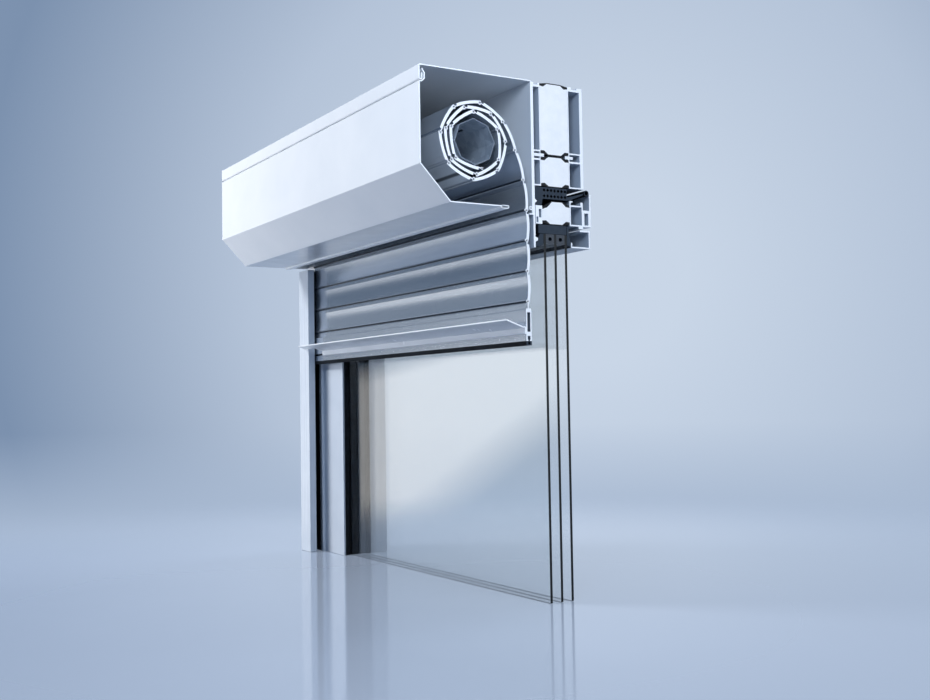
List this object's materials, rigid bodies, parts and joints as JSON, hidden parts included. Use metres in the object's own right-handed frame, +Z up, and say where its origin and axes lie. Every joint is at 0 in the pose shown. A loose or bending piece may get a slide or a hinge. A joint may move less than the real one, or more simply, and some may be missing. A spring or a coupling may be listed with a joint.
{
  "type": "roller shutter",
  "caption": "Cut sample of a roller shutter: a box with the slat curtain wound on a barrel, guide rail, and the insulated window frame, sash and triple glazing behind.",
  "frame": {"origin": "centre of the bounding box's bottom, on the floor", "axes": "+X along the box towards the sawn end, +Y towards the room, +Z up"},
  "size_m": [0.8, 0.28, 0.734],
  "materials": {
    "box_lacquer": "gloss white",
    "frame_lacquer": "white, sawn ends bright",
    "rail_aluminium": "white coated",
    "slat_aluminium": "satin lacquer",
    "foam": "fine cell foam",
    "polyamide": "matt",
    "black_rubber": "matt",
    "brush_pile": "short pile",
    "spacer_black": "matt",
    "clear_glass": "clear",
    "galvanised_steel": "galvanised",
    "motor_housing": "satin",
    "bright_steel": "zinc plated"
  },
  "bodies": {
    "window_and_box": {"rear_cover": "box_lacquer", "front_cover": "box_lacquer", "lip_bead": "box_lacquer", "rear_bottom_rail": "box_lacquer", "end_plate": "box_lacquer", "extension_outer": "frame_lacquer", "extension_inner": "frame_lacquer", "frame_outer": "frame_lacquer", "frame_inner": "frame_lacquer", "sash_outer": "frame_lacquer", "sash_inner": "frame_lacquer", "glazing_bead": "frame_lacquer", "guide_rail": "rail_aluminium", "foam_cores": "foam", "tie_strips": "polyamide", "centre_gasket": "black_rubber", "stop_gasket": "black_rubber", "glazing_gaskets": "black_rubber", "glazing_packer": "black_rubber", "guide_brushes": "brush_pile", "spacers": "spacer_black", "pane_outer": "clear_glass", "pane_middle": "clear_glass", "pane_inner": "clear_glass", "motor_bracket": "galvanised_steel", "tubular_motor": "motor_housing", "screws": "bright_steel"},
    "roll": {"slat_01": "slat_aluminium", "slat_02": "slat_aluminium", "slat_03": "slat_aluminium", "slat_04": "slat_aluminium", "slat_05": "slat_aluminium", "slat_06": "slat_aluminium", "slat_07": "slat_aluminium", "slat_08": "slat_aluminium", "slat_09": "slat_aluminium", "slat_10": "slat_aluminium", "slat_11": "slat_aluminium", "slat_12": "slat_aluminium", "slat_13": "slat_aluminium", "slat_14": "slat_aluminium", "barrel_tube": "galvanised_steel", "hangers": "galvanised_steel", "motor_shaft": "bright_steel", "motor_crown": "polyamide", "drive_wheel": "polyamide"},
    "link_15": {"slat_15": "slat_aluminium", "slat_16": "slat_aluminium", "slat_17": "slat_aluminium"},
    "link_18": {"slat_18": "slat_aluminium"},
    "link_19": {"slat_19": "slat_aluminium"},
    "link_20": {"slat_20": "slat_aluminium"},
    "curtain": {"slat_21": "slat_aluminium", "slat_22": "slat_aluminium", "slat_23": "slat_aluminium", "slat_24": "slat_aluminium", "bottom_slat": "slat_aluminium", "stop_angle": "slat_aluminium", "bottom_seal": "black_rubber"}
  },
  "joints": [
    {"name": "roll_turn", "type": "hinge", "parent": "window_and_box", "child": "roll", "pos_m": [0, -0.0545, 0.6371], "axis": [1, 0, 0], "range_deg": [-80.2, 0]},
    {"name": "link_15_bend", "type": "hinge", "parent": "roll", "child": "link_15", "pos_m": [0, -0.09563, 0.60379], "axis": [1, 0, 0], "range_deg": [-0.5, 22.99]},
    {"name": "link_18_bend", "type": "hinge", "parent": "link_15", "child": "link_18", "pos_m": [0, -0.0449, 0.69189], "axis": [1, 0, 0], "range_deg": [-0.5, 10.09]},
    {"name": "link_19_bend", "type": "hinge", "parent": "link_18", "child": "link_19", "pos_m": [0, -0.00839, 0.66975], "axis": [1, 0, 0], "range_deg": [-0.5, 26.75]},
    {"name": "link_20_bend", "type": "hinge", "parent": "link_19", "child": "link_20", "pos_m": [0, 0.0108, 0.6316], "axis": [1, 0, 0], "range_deg": [-0.5, 10.32]},
    {"name": "curtain_bend", "type": "hinge", "parent": "link_20", "child": "curtain", "pos_m": [0, 0.02357, 0.59086], "axis": [1, 0, 0], "range_deg": [-0.5, 12.55]}
  ],
  "couplings": [
    {"joint": "link_15_bend", "follows": "roll_turn", "ratio": -0.2804},
    {"joint": "link_18_bend", "follows": "roll_turn", "ratio": -0.1196},
    {"joint": "link_19_bend", "follows": "roll_turn", "ratio": -0.3273},
    {"joint": "link_20_bend", "follows": "roll_turn", "ratio": -0.1225},
    {"joint": "curtain_bend", "follows": "roll_turn", "ratio": -0.1502}
  ]
}
